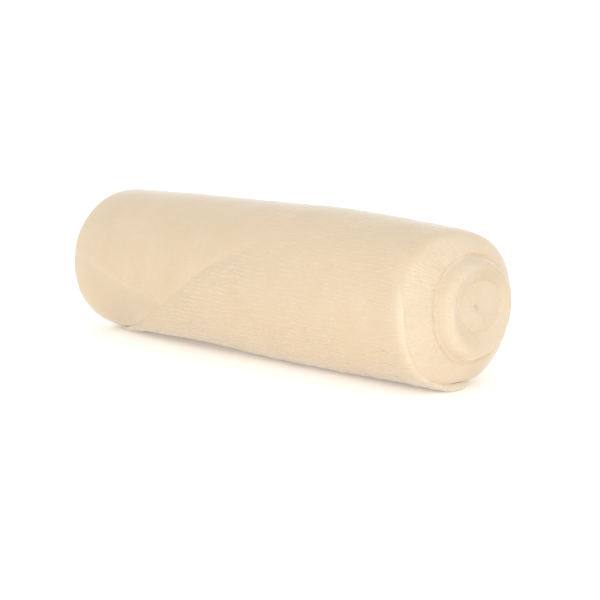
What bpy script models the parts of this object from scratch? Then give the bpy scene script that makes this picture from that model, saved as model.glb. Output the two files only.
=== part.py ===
# A gauze bandage roll lying on its side: the wound roll, and the loose end of
# the cloth that comes round from underneath and up the front.
#
# The roll's axis runs along X. Places on the cloth are given by two numbers:
#   back   millimetres left of the rim, which is the cloth's right-hand selvedge
#   angle  degrees round the axis: 0 faces -Y, 90 is the top, -90 the underside
import math

import bmesh
import bpy

MM = 0.001

# Driving sizes, in millimetres.
ROLL_RADIUS = 16.0
CLOTH_WIDTH = 101.6
END_BULGE = 5.5
SHEET = 1.0
GAP = 0.3
FLAT_DEPTH = 0.5

AXIS_HEIGHT = ROLL_RADIUS - FLAT_DEPTH
RIM_X = (CLOTH_WIDTH - END_BULGE) / 2
STEP = SHEET + GAP

# The roll is a little thicker at its left end and thinner towards the rim,
# most of all along the top, and slightly out of round.
LEFT_SWELL = 0.4
LEFT_SWELL_START = 45.0
LEFT_SWELL_LENGTH = 50.0
TAPER_LENGTH = 30.0
TAPER_BEHIND = 0.75
TAPER_TOP = 1.15
TAPER_POWER = 1.2
TOP_DIP_ANGLE = 97.0
TOP_DIP_SPREAD = 40.0
RIM_PULL_ABOVE = 25.0
RIM_PULL_BELOW = -60.0
RIM_PULL_TURN = 45.0
CORNER_LENGTH = 3.2
CORNER_DROP = 0.56
CORNER_SHARES = (0.5, 0.85)
OVAL = 0.11
OVAL_TWIST = 19.0
THREE_LOBED = 0.07
THREE_LOBED_TWIST = 11.0

# The loose end starts just behind the flat spot that the roll rests on, and
# ends in a cut edge. Its slack sags over the lower front of the roll.
START_ANGLE = -108.0
STEP_TURN = 0.6
START_CLEARANCE = 1.9
CUT_ANGLE_AT_RIM = 21.7
CUT_ANGLE_AT_CORNER = 36.0
CORNER_BACK = 41.6
RIM_SETBACK = 0.35
RIM_WAVE = 0.25
RIM_WAVE_TURN = 86.0
SAG = 0.5
SAG_ANGLE = -60.0
SAG_TURN = 26.0
SAG_BACK = 38.0
SAG_SPREAD = 30.0
FOLD_RISE = 0.35
FOLD_RISE_WIDTH = 3.0
FOLD_END_ANGLE = -50.0
POCKET_LIFT = 0.8
POCKET_ANGLE = -62.0
POCKET_BACK = 93.0
POCKET_SPREAD = 8.0

# Left-hand edge of the loose end, from its folded corner down the diagonal
# fold, along the mouth of the pocket, to the left selvedge under the roll.
LOOSE_EDGE = (
    {"angle": 36.0, "back": 41.6},
    {"angle": 20.0, "back": 49.8},
    {"angle": -4.4, "back": 60.0},
    {"angle": -21.2, "back": 68.0},
    {"angle": -35.0, "back": 75.0},
    {"angle": -46.0, "back": 80.6},
    {"angle": -54.0, "back": 87.0},
    {"angle": -62.0, "back": 93.6},
    {"angle": -74.0, "back": 97.4},
    {"angle": -90.0, "back": 98.2},
    {"angle": -108.0, "back": 98.3},
)

# Soft crease in the turn below, left of the fold. Under it the cloth is drawn
# flat towards the pocket, and the facet fades out at the left shoulder.
CREASE = (
    {"back": 66.9, "angle": -17.3},
    {"back": 71.5, "angle": -12.8},
    {"back": 81.4, "angle": -2.3},
    {"back": 91.7, "angle": 8.6},
    {"back": 101.0, "angle": 17.0},
)
CREASE_RIDGE = 0.3
CREASE_RIDGE_WIDTH = 2.0
CREASE_RIDGE_START = 8.0
CREASE_MIDDLE_ANGLE = -2.3
CREASE_BEND_SPREAD = 55.0
CREASE_BEND_START = 40.0
FACET_END = 84.0
FACET_FADE = 16.0
FACET_AT_SHOULDER = 0.3
FACET_POWER = 0.85

# The wound roll lies lower under the loose end, and comes up to the full
# radius over these lengths beyond its edges.
FADE_ABOVE_CUT = 13.0
FADE_LEFT_OF_FOLD = 12.0
FADE_SHOULDER_START = 98.6
FADE_SHOULDER = 1.8
FADE_END_ANGLE = -60.0
FADE_END_TURN = 80.0

# Right end, from the rim to the centre: the turns inside are pushed out in
# steps. forward is millimetres right of the rim.
RIGHT_END = (
    {"part": "rim", "forward": 0.0, "radius": 15.44},
    {"part": "band", "forward": 0.8, "radius": 14.5},
    {"part": "band", "forward": 1.45, "radius": 13.3},
    {"part": "band", "forward": 2.0, "radius": 11.9},
    {"part": "band", "forward": 2.4, "radius": 10.65},
    {"part": "outer groove", "forward": 1.7, "radius": 10.3},
    {"part": "outer groove", "forward": 2.4, "radius": 9.9},
    {"part": "bulging ring", "forward": 3.85, "radius": 9.35},
    {"part": "bulging ring", "forward": 4.95, "radius": 8.5},
    {"part": "bulging ring", "forward": 5.5, "radius": 7.35},
    {"part": "bulging ring", "forward": 5.45, "radius": 6.25},
    {"part": "bulging ring", "forward": 4.95, "radius": 5.35},
    {"part": "inner groove", "forward": 4.25, "radius": 5.0},
    {"part": "inner groove", "forward": 4.8, "radius": 4.55},
    {"part": "disc", "forward": 5.35, "radius": 3.5},
    {"part": "disc", "forward": 5.5, "radius": 1.9},
    {"part": "pit", "forward": 5.3, "radius": 0.65},
    {"part": "pit", "forward": 4.8, "radius": 0.0},
)
PIT_OFFSET = 1.7
DISC_RADIUS = 5.0

# Left end, from the shoulder to the centre. It is drawn in as far as its
# shallow dish, since the same width of cloth is pushed out at the right.
SHOULDER_LENGTH = 6.2
SHOULDER_POWER = 4.3
SHOULDER_SHARES = (0.0, 0.35, 0.55, 0.7, 0.81, 0.89)
LEFT_END = (
    {"part": "face", "back": 101.35, "radius": 11.2},
    {"part": "face", "back": 101.6, "radius": 10.2},
    {"part": "outer groove", "back": 100.8, "radius": 9.8},
    {"part": "dished ring", "back": 101.1, "radius": 9.3},
    {"part": "dished ring", "back": 100.8, "radius": 7.4},
    {"part": "dished ring", "back": 100.4, "radius": 5.6},
    {"part": "inner groove", "back": 99.6, "radius": 5.2},
    {"part": "disc", "back": 99.9, "radius": 4.6},
    {"part": "disc", "back": 99.6, "radius": 1.6},
    {"part": "pit", "back": 99.0, "radius": 0.0},
)

# Fineness of the two solids.
TURN_STEPS = 64
BODY_STEPS = 28
SHEET_ROWS = 42
SHEET_COLUMNS = 13
NOSE_OFFSETS = (0.8, 2.0, 3.6)
EDGE_ROUNDING = 0.3

ROLL_COLOUR = (0.80, 0.67, 0.47)
LOOSE_COLOUR = (0.83, 0.69, 0.49)
CLOTH_ROUGHNESS = 0.95


def clamp(value, low=0.0, high=1.0):
    return max(low, min(high, value))


def smooth(value):
    """0 to 1 with level ends."""
    t = clamp(value)
    return t * t * (3 - 2 * t)


def bell(offset, spread):
    return math.exp(-((offset / spread) ** 2))


def read(table, key, at, wanted):
    """The wanted column where the key column is `at`, by straight lines."""
    rows = sorted(table, key=lambda row: row[key])
    if at <= rows[0][key]:
        return rows[0][wanted]
    for low, high in zip(rows, rows[1:]):
        if at <= high[key]:
            share = (at - low[key]) / (high[key] - low[key])
            return low[wanted] + share * (high[wanted] - low[wanted])
    return rows[-1][wanted]


def signed(angle):
    """The same direction between -180 and 180 degrees."""
    return (angle + 180.0) % 360.0 - 180.0


def arc(degrees):
    """Length of cloth in a turn of so many degrees."""
    return math.radians(degrees) * ROLL_RADIUS


def cut_angle(back):
    """Where the cut edge lies: a little higher towards the folded corner."""
    share = clamp(back / CORNER_BACK)
    return CUT_ANGLE_AT_RIM + share * (CUT_ANGLE_AT_CORNER - CUT_ANGLE_AT_RIM)


def loose_edge(angle):
    return read(LOOSE_EDGE, "angle", angle, "back")


def rim_pull(angle):
    """1 behind and under the roll, 0 on the front, where the rim stands out."""
    above = smooth((angle - RIM_PULL_ABOVE) / RIM_PULL_TURN)
    below = smooth((RIM_PULL_BELOW - angle) / RIM_PULL_TURN)
    return max(above, below)


def outer_radius(back, angle):
    """Radius of the outermost cloth."""
    angle = signed(angle)
    near_rim = clamp(1 - back / TAPER_LENGTH) ** TAPER_POWER
    top_dip = bell(angle - TOP_DIP_ANGLE, TOP_DIP_SPREAD)
    radius = ROLL_RADIUS + LEFT_SWELL * smooth((back - LEFT_SWELL_START) / LEFT_SWELL_LENGTH)
    radius -= near_rim * (TAPER_BEHIND * rim_pull(angle) + TAPER_TOP * top_dip)
    turn = math.radians(angle)
    radius += OVAL * math.sin(2 * turn + back / OVAL_TWIST)
    radius += THREE_LOBED * math.sin(3 * turn - back / THREE_LOBED_TWIST)
    return radius


def hollow(back, angle):
    """How far the wound roll lies inside the outermost cloth."""
    left = max(0.0, back - loose_edge(angle))
    above = max(0.0, arc(angle - cut_angle(back)))
    distance = math.hypot(left / FADE_LEFT_OF_FOLD, above / FADE_ABOVE_CUT)
    depth = STEP * (1 - smooth(distance))
    if left > 0:
        depth = max(depth, STEP * flat_below_crease(back, angle))
    depth *= 1 - smooth((back - FADE_SHOULDER_START) / FADE_SHOULDER)
    ridge = arc(angle - read(CREASE, "back", back, "angle"))
    fade = smooth((back - CREASE[0]["back"]) / CREASE_RIDGE_START)
    return depth - CREASE_RIDGE * fade * bell(ridge, CREASE_RIDGE_WIDTH)


def flat_below_crease(back, angle):
    """0 at the crease and above, 1 at the loose end's edge below it."""
    if back < CREASE[0]["back"]:
        return 0.0
    crease = read(CREASE, "back", back, "angle")
    edge = read(LOOSE_EDGE[:-1], "back", back, "angle")
    fade = 1 - (1 - FACET_AT_SHOULDER) * smooth((back - FACET_END) / FACET_FADE)
    return fade * clamp((crease - angle) / (crease - edge)) ** FACET_POWER


def place(x, radius, angle, lowest):
    """A point on the roll, kept above the height `lowest`."""
    turn = math.radians(angle)
    y = -radius * math.cos(turn)
    z = AXIS_HEIGHT + radius * math.sin(turn)
    return (x, y, max(z, lowest))


def roll_angles():
    """One row of cloth per step, with two close together where the last turn leaves."""
    step = (360.0 - STEP_TURN) / (TURN_STEPS - 1)
    return [START_ANGLE + STEP_TURN + step * i for i in range(TURN_STEPS)]


def bend_to_crease(angle, back):
    """Rows near the crease run along it, so that its ridge is even."""
    angle = signed(angle)
    shift = read(CREASE, "back", back, "angle") - CREASE_MIDDLE_ANGLE
    start = smooth((back - CREASE_BEND_START) / (CREASE[0]["back"] - CREASE_BEND_START))
    return angle + start * shift * bell(angle - CREASE_MIDDLE_ANGLE, CREASE_BEND_SPREAD)


def roll_stations():
    """Sections of the roll from its left centre to its right centre."""
    stations = []
    for row in reversed(LEFT_END):
        stations.append({"x": RIM_X - row["back"], "back": row["back"], "radius": row["radius"]})
    shoulder_start = CLOTH_WIDTH - SHOULDER_LENGTH
    for share in reversed(SHOULDER_SHARES):
        back = shoulder_start + share * SHOULDER_LENGTH
        inner = (1 - share ** SHOULDER_POWER) ** (1 / SHOULDER_POWER)
        stations.append({"x": RIM_X - back, "back": back, "radius": ROLL_RADIUS * inner})
    run = shoulder_start - CORNER_LENGTH
    for i in range(1, BODY_STEPS + 1):
        back = shoulder_start - run * i / BODY_STEPS
        stations.append({"x": RIM_X - back, "back": back, "radius": ROLL_RADIUS})
    for share in CORNER_SHARES:
        back = CORNER_LENGTH * (1 - share)
        radius = ROLL_RADIUS - CORNER_DROP * share ** 2
        stations.append({"x": RIM_X - back, "back": back, "radius": radius})
    for row in RIGHT_END:
        stations.append({"x": RIM_X + row["forward"], "back": 0.0, "radius": row["radius"]})
    return stations


def roll_ring(station, angles):
    """One section of the roll. Its unevenness fades towards the centre."""
    share = min(1.0, station["radius"] / ROLL_RADIUS)
    right_end = station["x"] > RIM_X
    offset = 0.0
    if right_end:
        offset = PIT_OFFSET * (1 - clamp(station["radius"] / DISC_RADIUS))
    points = []
    for i, even_angle in enumerate(angles):
        angle = bend_to_crease(even_angle, station["back"])
        covered = angle > START_ANGLE and i < len(angles) - 1
        depth = hollow(station["back"], angle) if covered else 0.0
        if right_end:
            depth = hollow(0.0, angle) * (1 - smooth((FADE_END_ANGLE - angle) / FADE_END_TURN))
        change = outer_radius(station["back"], angle) - depth - ROLL_RADIUS
        radius = station["radius"] + change * share ** 2
        x, y, z = place(station["x"], radius, angle, STEP if covered else 0.0)
        points.append((x, y - offset, z))
    return points


def join_rings(mesh, rings):
    """Skin between closed rings of points, and return the rings of vertices."""
    made = [[mesh.verts.new([c * MM for c in point]) for point in ring] for ring in rings]
    for ring, after in zip(made, made[1:]):
        count = len(ring)
        for i in range(count):
            j = (i + 1) % count
            mesh.faces.new((ring[i], ring[j], after[j], after[i]))
    return made


def finish(mesh, name, colour):
    """Turn the faces outwards and make the object, shaded smooth, with its material."""
    bmesh.ops.recalc_face_normals(mesh, faces=mesh.faces)
    data = bpy.data.meshes.new(name)
    mesh.to_mesh(data)
    mesh.free()
    data.shade_smooth()
    data.set_sharp_from_angle(angle=math.radians(50))
    material = bpy.data.materials.new(name)
    material.use_nodes = True
    shader = material.node_tree.nodes["Principled BSDF"]
    shader.inputs["Base Color"].default_value = (*colour, 1.0)
    shader.inputs["Roughness"].default_value = CLOTH_ROUGHNESS
    shader.inputs["Metallic"].default_value = 0.0
    data.materials.append(material)
    made = bpy.data.objects.new(name, data)
    bpy.context.scene.collection.objects.link(made)
    return made


def make_wound_roll():
    """The wound form: rings from centre to centre, closed at both by a point."""
    angles = roll_angles()
    stations = roll_stations()
    mesh = bmesh.new()
    rings = join_rings(mesh, [roll_ring(s, angles) for s in stations[1:-1]])
    for station, ring in ((stations[0], rings[0]), (stations[-1], rings[-1])):
        points = roll_ring(station, angles)
        centre = mesh.verts.new([sum(c) / len(points) * MM for c in zip(*points)])
        for i, vertex in enumerate(ring):
            mesh.faces.new((vertex, ring[(i + 1) % len(ring)], centre))
    return finish(mesh, "wound_roll", ROLL_COLOUR)


def sheet_backs(edge):
    """Places across the loose end, close together by its folded edge."""
    backs = [edge] + [edge - offset for offset in NOSE_OFFSETS]
    run = backs[-1]
    return backs + [run * (1 - i / SHEET_COLUMNS) for i in range(1, SHEET_COLUMNS + 1)]


def slack(back, angle):
    """How far the loose end stands off: its sag in front, and the mouth of its pocket."""
    sag = SAG * bell(angle - SAG_ANGLE, SAG_TURN) * bell(back - SAG_BACK, SAG_SPREAD)
    reach = math.hypot(arc(angle - POCKET_ANGLE), back - POCKET_BACK)
    return sag + POCKET_LIFT * bell(reach, POCKET_SPREAD)


def fold_rise(back, angle, edge):
    """The folded edge is thicker, as its corner is turned under."""
    if angle < FOLD_END_ANGLE:
        return 0.0
    return FOLD_RISE * (1 - smooth((edge - back) / FOLD_RISE_WIDTH))


def sheet_section(share):
    """A closed section across the loose end, `share` of the way from its start to its cut."""
    first = START_ANGLE + START_CLEARANCE
    edge = loose_edge(first + share * (CUT_ANGLE_AT_CORNER - first))
    backs = sheet_backs(edge)
    outer, inner = [], []
    for i, back in enumerate(backs):
        across = back / edge
        last = cut_angle(across * CORNER_BACK)
        angle = first + share * (last - first)
        wave = RIM_WAVE * math.cos(math.tau * angle / RIM_WAVE_TURN) - RIM_SETBACK
        x = RIM_X - back + wave * (1 - across)
        rounding = EDGE_ROUNDING if i in (0, len(backs) - 1) else 0.0
        radius = outer_radius(back, angle) + slack(back, angle)
        top = radius + fold_rise(back, angle, edge)
        outer.append(place(x, top - rounding, angle, rounding))
        inner.append(place(x, radius - SHEET + rounding, angle, SHEET - rounding))
    return outer, inner


def make_loose_end():
    """The last turn: a sheet with rounded side edges, closed at its start and its cut edge."""
    sections = [sheet_section(i / SHEET_ROWS) for i in range(SHEET_ROWS + 1)]
    mesh = bmesh.new()
    rings = join_rings(mesh, [outer + inner[::-1] for outer, inner in sections])
    across = len(sections[0][0])
    for ring in (rings[0], rings[-1]):
        for i in range(across - 1):
            below = len(ring) - 1 - i
            mesh.faces.new((ring[i], ring[i + 1], ring[below - 1], ring[below]))
    return finish(mesh, "loose_end", LOOSE_COLOUR)


def centre_on_floor(made):
    """Move the whole part so that its box is centred over the origin and stands at z = 0."""
    points = [vertex.co for item in made for vertex in item.data.vertices]
    middle = [(min(p[k] for p in points) + max(p[k] for p in points)) / 2 for k in (0, 1)]
    for item in made:
        for vertex in item.data.vertices:
            vertex.co.x -= middle[0]
            vertex.co.y -= middle[1]


def main():
    for item in list(bpy.data.objects):
        bpy.data.objects.remove(item, do_unlink=True)
    centre_on_floor([make_wound_roll(), make_loose_end()])


main()
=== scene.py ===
import math

import bpy
import numpy as np
from mathutils import Matrix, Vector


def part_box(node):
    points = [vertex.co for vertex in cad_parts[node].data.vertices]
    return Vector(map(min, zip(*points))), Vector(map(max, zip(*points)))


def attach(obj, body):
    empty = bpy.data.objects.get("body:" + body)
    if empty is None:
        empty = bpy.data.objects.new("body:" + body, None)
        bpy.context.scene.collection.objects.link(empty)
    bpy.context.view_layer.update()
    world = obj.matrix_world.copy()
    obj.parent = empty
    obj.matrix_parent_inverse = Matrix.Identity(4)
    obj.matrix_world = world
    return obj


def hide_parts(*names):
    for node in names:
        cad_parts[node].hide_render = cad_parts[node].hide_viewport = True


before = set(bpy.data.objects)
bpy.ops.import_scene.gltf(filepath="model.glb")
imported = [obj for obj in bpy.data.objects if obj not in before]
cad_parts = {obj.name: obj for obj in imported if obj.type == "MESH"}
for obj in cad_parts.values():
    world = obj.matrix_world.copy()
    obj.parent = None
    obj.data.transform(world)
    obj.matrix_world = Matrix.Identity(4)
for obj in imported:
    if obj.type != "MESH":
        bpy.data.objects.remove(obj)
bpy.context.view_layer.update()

# A roll of crepe gauze lying on its side. Places on the cloth are given by two
# numbers: back, in millimetres left of the rim, and angle, in degrees round the
# roll's axis, where 0 faces -Y, 90 is the top and -90 the underside.
metre = 1000.0  # millimetres in a metre

rollForm = {  # millimetres and degrees
    "radius": 16.0,         # outermost turn
    "clothWidth": 101.6,    # from selvedge to selvedge
    "endBulge": 5.5,        # the inner turns stand this far out of the right end
    "flatDepth": 0.5,       # the roll is pressed this much flat where it rests
    "seamAngle": -116.0,    # the loose end leaves the roll here, out of sight
    "leftSwell": 0.4, "swellStart": 45.0, "swellLength": 50.0,
    "taperLength": 38.0, "taperPower": 1.7,
    "taperBehind": 0.75, "pullAbove": 25.0, "pullBelow": -60.0, "pullTurn": 45.0,
    "taperTop": 1.45, "topDipAngle": 97.0, "topDipSpread": 40.0,
    "leftSink": 0.4, "sinkAngle": 82.0, "sinkSpread": 42.0, "sinkStart": 72.0, "sinkLength": 22.0,
    "oval": 0.11, "ovalTwist": 19.0, "threeLobed": 0.07, "lobeTwist": 11.0,
    "cornerLength": 3.2, "cornerDrop": 0.56,
    "shoulderLength": 6.2, "shoulderPower": 4.3,
}
rimX = float(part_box("wound_roll")[1][0]) * metre - rollForm["endBulge"]
axisHeight = rollForm["radius"] - rollForm["flatDepth"]

undersideForm = {  # an arch at the left and scallops all along, between two angles
    "archDepth": 1.25, "archStart": 50.0, "archEnd": 90.0, "archBend": 10.0,
    "scallop": 0.3, "scallopLength": 4.6, "scallopFade": 6.0, "scallopRow": 0.3, "archCalm": 0.5,
    "from": -56.0, "fromTurn": 16.0, "to": -124.0, "toTurn": 20.0,
}
looseForm = {
    "thickness": 0.45,
    "dip": 0.7, "dipFrom": -104.0, "dipTurn": 10.0,
    "cutAtRim": 21.7, "cutAtCorner": 36.0, "cornerBack": 41.6,
    "rimSetback": 0.22, "rimWave": 0.16, "rimWaveTurn": 86.0,
    "rimBend": 0.33, "rimBendLength": 1.1, "grooveInside": 1.8,
    "foldShare": 0.03, "foldTaper": 4.0, "cutSink": 0.02, "cutSinkWidth": 1.2, "endRow": 0.0012,
    "sag": 0.5, "sagAngle": -60.0, "sagTurn": 26.0, "sagBack": 38.0, "sagSpread": 22.0,
    "pocketLift": 0.32, "pocketAngle": -62.0, "pocketBack": 91.0, "pocketSpread": 4.2,
    "trough": 0.4, "troughBack": 44.0, "troughSpread": 5.5,
    "troughLow": -50.0, "troughLowTurn": 25.0, "troughHigh": 34.0, "troughHighTurn": 16.0,
    "noseRadius": 0.18, "leastFlap": 1.0, "upperDrop": 0.1,
    "flapRise": 0.3, "flapRiseWidth": 4.0, "flapLead": 1.0, "flapFrom": -62.0, "flapTurn": 14.0,
    "beadSpread": 0.9, "beadShare": -0.7, "edgeRound": 0.4,
    "weftSlant": 0.09, "cutShare": 0.06, "foldRound": 0.4, "foldRoundWidth": 1.8, "foldFade": 5.0,
    "lipThickness": 1.08, "lipAngle": -84.0, "lipTurn": 20.0, "lipBack": 2.6,
    "lipEnd": -106.0, "lipEndTurn": 16.0, "lipReach": 0.9, "lipReachBack": 4.0, "lipClear": 0.08,
    "wefts": 54, "rowsPerWeft": 4, "acrossTop": 200, "acrossFlap": 12, "acrossNose": 7,
}
looseEdge = [  # left-hand edge of the loose end: its diagonal fold, then its selvedge
    {"angle": -108.0, "back": 96.4}, {"angle": -90.0, "back": 96.2},
    {"angle": -74.0, "back": 95.2}, {"angle": -62.0, "back": 91.8},
    {"angle": -54.0, "back": 86.4}, {"angle": -46.0, "back": 80.6},
    {"angle": -35.0, "back": 75.0}, {"angle": -21.2, "back": 68.0},
    {"angle": -4.4, "back": 60.0}, {"angle": 20.0, "back": 49.8},
    {"angle": 36.0, "back": 41.6},
]
flapEdge = [  # how far the folded corner reaches back under the loose end
    {"angle": -108.0, "back": 95.0}, {"angle": -84.0, "back": 94.2},
    {"angle": -66.0, "back": 84.0}, {"angle": -52.0, "back": 62.0},
    {"angle": -37.0, "back": 43.5}, {"angle": -10.0, "back": 40.6},
    {"angle": 14.0, "back": 40.2}, {"angle": 36.0, "back": 40.9},
]
foldStep = [  # along the fold: the share of its full step, and the soft groove beside it
    {"angle": -108.0, "share": 1.0, "groove": 0.0}, {"angle": -66.0, "share": 1.0, "groove": 0.0},
    {"angle": -58.0, "share": 0.2, "groove": 0.05}, {"angle": -52.0, "share": 0.0, "groove": 0.02},
    {"angle": -36.0, "share": 0.0, "groove": 0.02}, {"angle": -23.0, "share": 0.0, "groove": 0.07},
    {"angle": -5.0, "share": 0.0, "groove": 0.22}, {"angle": 2.0, "share": 0.0, "groove": 0.28},
    {"angle": 22.0, "share": 0.0, "groove": 0.20}, {"angle": 36.0, "share": 0.0, "groove": 0.05},
]
crease = [  # soft crease in the turn below, left of the fold
    {"back": 66.7, "angle": -16.5}, {"back": 69.9, "angle": -14.2},
    {"back": 74.7, "angle": -10.0}, {"back": 79.8, "angle": -6.0},
    {"back": 85.1, "angle": -0.2}, {"back": 91.6, "angle": 7.8},
    {"back": 101.0, "angle": 17.0},
]
underForm = {  # how far the wound roll lies below the loose end, and beside it
    "oneLayer": 0.56, "twoLayers": 0.74, "secondLead": 3.0, "secondFade": 4.0,
    "fadeAbove": 13.0, "fadeLeft": 12.0,
    "shoulderStart": 98.6, "shoulderFade": 1.8,
    "grooveFade": 1.5, "rimThin": 0.45, "rimThinWidth": 1.6,
    "ridge": 0.45, "ridgeWidth": 1.6, "ridgeStart": 8.0, "ridgeEnd": 96.0, "ridgeFade": 4.0,
    "facetDepth": 1.5, "facetSteep": 5.5, "facetStart": 6.0, "facetLeft": 5.0,
    "facetEnd": 84.0, "facetFade": 16.0, "facetAtShoulder": 0.4,
    "cutShare": 0.03, "cutTaper": 6.0,
    "seamLead": 4.0, "seamFade": 6.0, "clearAbove": 40.0, "clearTurn": 30.0, "clearLeft": 1.0,
    "endFadeAngle": -60.0, "endFadeTurn": 80.0,
    "endLift": 0.05, "endLiftShare": 0.97, "endLiftFade": 0.12,
}
crepeForm = {  # random heights: how many go round the roll, and their size along it
    "softAround": 20, "softSize": 5.0, "softRelief": 0.035,
    "fineAround": 52, "fineSize": 2.2, "fineShare": 0.5,
    "rippleAround": 24, "rippleSize": 1.5, "ripple": 0.11,
    "lowFrom": -44.0, "lowTurn": 24.0, "lowEnd": -112.0, "lowEndTurn": 14.0,
}
noiseGrid = 256  # the random heights repeat after this many
noiseSeed = {
    "scallops": 3, "soft": 4, "fine": 5, "ripple": 6, "turnEdges": 11,
    "mottle": 31, "fineMottle": 32, "endLines": 33,
}


def smooth(value):
    # 0 to 1 with level ends: 3t^2 - 2t^3.
    t = np.clip(value, 0.0, 1.0)
    return t * t * (3 - 2 * t)


def bell(offset, spread):
    # 1 at the middle, falling off on both sides: e to the minus (offset / spread)^2.
    return np.exp(-((offset / spread) ** 2))


def signed(angle):
    # The same direction between -180 and 180 degrees.
    return (angle + 180.0) % 360.0 - 180.0


def arcLength(degrees):
    # Millimetres round the outermost turn for an angle in degrees.
    return np.radians(degrees) * rollForm["radius"]


def readTable(table, key, at, wanted):
    # The wanted column where the key column is `at`, by straight lines.
    return np.interp(at, [row[key] for row in table], [row[wanted] for row in table])


def softNoise(u, v, kind, around=0):
    # Random heights from -1 to 1 on whole numbers, joined by smooth steps in u and v.
    # Where `around` is given, the heights repeat after that many in u.
    heights = np.random.default_rng(noiseSeed[kind]).uniform(-1, 1, (noiseGrid, noiseGrid))
    lowU, lowV = np.floor(u), np.floor(v)
    partU, partV = smooth(u - lowU), smooth(v - lowV)
    iu, iv = lowU.astype(int), lowV.astype(int)
    nextU = iu + 1
    if around:
        iu, nextU = iu % around, nextU % around
    iu, nextU, iv, nextV = iu % noiseGrid, nextU % noiseGrid, iv % noiseGrid, (iv + 1) % noiseGrid
    low = heights[iu, iv] * (1 - partU) + heights[nextU, iv] * partU
    high = heights[iu, nextV] * (1 - partU) + heights[nextU, nextV] * partU
    return low * (1 - partV) + high * partV


def outerRadius(back, angle):
    # Radius of the outermost cloth: a cylinder, swollen at the left, tapered towards
    # the rim behind and on top, sunk a little on top at the left, and a little oval and
    # three-lobed with a twist, less what the underside is raised by.
    form = rollForm
    angle = signed(angle)
    above = smooth((angle - form["pullAbove"]) / form["pullTurn"])
    below = smooth((form["pullBelow"] - angle) / form["pullTurn"])
    nearRim = np.clip(1 - back / form["taperLength"], 0, 1) ** form["taperPower"]
    topDip = bell(signed(angle - form["topDipAngle"]), form["topDipSpread"])
    turn = np.radians(angle)
    radius = form["radius"] + form["leftSwell"] * smooth((back - form["swellStart"]) / form["swellLength"])
    radius = radius - nearRim * (form["taperBehind"] * np.maximum(above, below) + form["taperTop"] * topDip)
    radius = radius + form["oval"] * np.sin(2 * turn + back / form["ovalTwist"])
    radius = radius + form["threeLobed"] * np.sin(3 * turn - back / form["lobeTwist"])
    sink = bell(signed(angle - form["sinkAngle"]), form["sinkSpread"])
    radius = radius - form["leftSink"] * sink * smooth((back - form["sinkStart"]) / form["sinkLength"])
    return radius - raisedUnderside(back, angle)


def raisedUnderside(back, angle):
    # The underside is drawn up in a low arch at the left and in small scallops all
    # along, which are lower on the arch.
    form = undersideForm
    arch = smooth((back - form["archStart"]) / form["archBend"])
    arch = arch * smooth((form["archEnd"] - back) / form["archBend"])
    row = np.full_like(back, form["scallopRow"])
    waves = 0.5 + 0.5 * softNoise(back / form["scallopLength"], row, "scallops")
    waves = waves * smooth(back / form["scallopFade"])
    below = smooth((form["from"] - angle) / form["fromTurn"]) * smooth((angle - form["to"]) / form["toTurn"])
    return below * (form["archDepth"] * arch + form["scallop"] * waves * (1 - form["archCalm"] * arch))


def cutAngle(back):
    # The cut edge lies a little higher towards the folded corner, on a straight line.
    form = looseForm
    share = np.clip(back / form["cornerBack"], 0, 1)
    return form["cutAtRim"] + share * (form["cutAtCorner"] - form["cutAtRim"])


def nearCut(back, angle, least):
    # 1 over the cloth, falling to `least` at the cut edge, where its yarns lie loose.
    inside = arcLength(cutAngle(back) - angle) / underForm["cutTaper"]
    return least + (1 - least) * smooth(inside)


def nearFold(back, angle):
    # 1 over the cloth and where the fold shows, less at the fold where it is pressed
    # flat: there the two layers are thin enough to leave no step.
    form = looseForm
    inside = readTable(looseEdge, "angle", angle, "back") - back
    step = readTable(foldStep, "angle", angle, "share")
    least = form["foldShare"] + (1 - form["foldShare"]) * step
    return least + (1 - least) * smooth(inside / form["foldTaper"])


def foldGroove(back, angle):
    # A soft groove along the fold, deepest at the fold itself and level at both sides.
    inside = readTable(looseEdge, "angle", angle, "back") - back
    away = np.where(inside > 0, inside / looseForm["grooveInside"], -inside / underForm["grooveFade"])
    return readTable(foldStep, "angle", angle, "groove") * (1 - smooth(away))


def atLipTurn(angle):
    # 1 where the margin stands out as a lip under the right end, 0 away from there.
    form = looseForm
    pastEnd = smooth((angle - form["lipEnd"]) / form["lipEndTurn"])
    return bell(angle - form["lipAngle"], form["lipTurn"]) * pastEnd


def pastSeam(angle):
    # 0 where the loose end leaves the roll, 1 a little further up.
    return smooth((angle - rollForm["seamAngle"] - underForm["seamLead"]) / underForm["seamFade"])


def crepeRelief(back, angle):
    # Soft unevenness of the outer cloth, the same on the loose end and the turn below:
    # two sizes of random heights, and short ripples low on the front.
    form = crepeForm
    v = rollForm["clothWidth"] - rollForm["shoulderLength"] - back
    share = ((angle - rollForm["seamAngle"]) % 360.0) / 360.0
    soft = softNoise(share * form["softAround"], v / form["softSize"], "soft", form["softAround"])
    fine = softNoise(share * form["fineAround"], v / form["fineSize"], "fine", form["fineAround"])
    ripple = softNoise(share * form["rippleAround"], v / form["rippleSize"], "ripple", form["rippleAround"])
    low = smooth((form["lowFrom"] - signed(angle)) / form["lowTurn"])
    low = low * smooth((signed(angle) - form["lowEnd"]) / form["lowEndTurn"])
    return form["softRelief"] * (soft + form["fineShare"] * fine) + form["ripple"] * low * ripple


def flatBelowCrease(back, angle):
    # 0 at the crease and above it, rising quickly to 1 below it: 1 less e to the minus
    # distance / facetSteep. It fades to the left.
    form = underForm
    below = np.maximum(0.0, arcLength(readTable(crease, "back", back, "angle") - angle))
    fade = 1 - (1 - form["facetAtShoulder"]) * smooth((back - form["facetEnd"]) / form["facetFade"])
    share = 1 - np.exp(-below / form["facetSteep"])
    return fade * share * smooth((back - crease[0]["back"]) / form["facetStart"])


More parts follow.
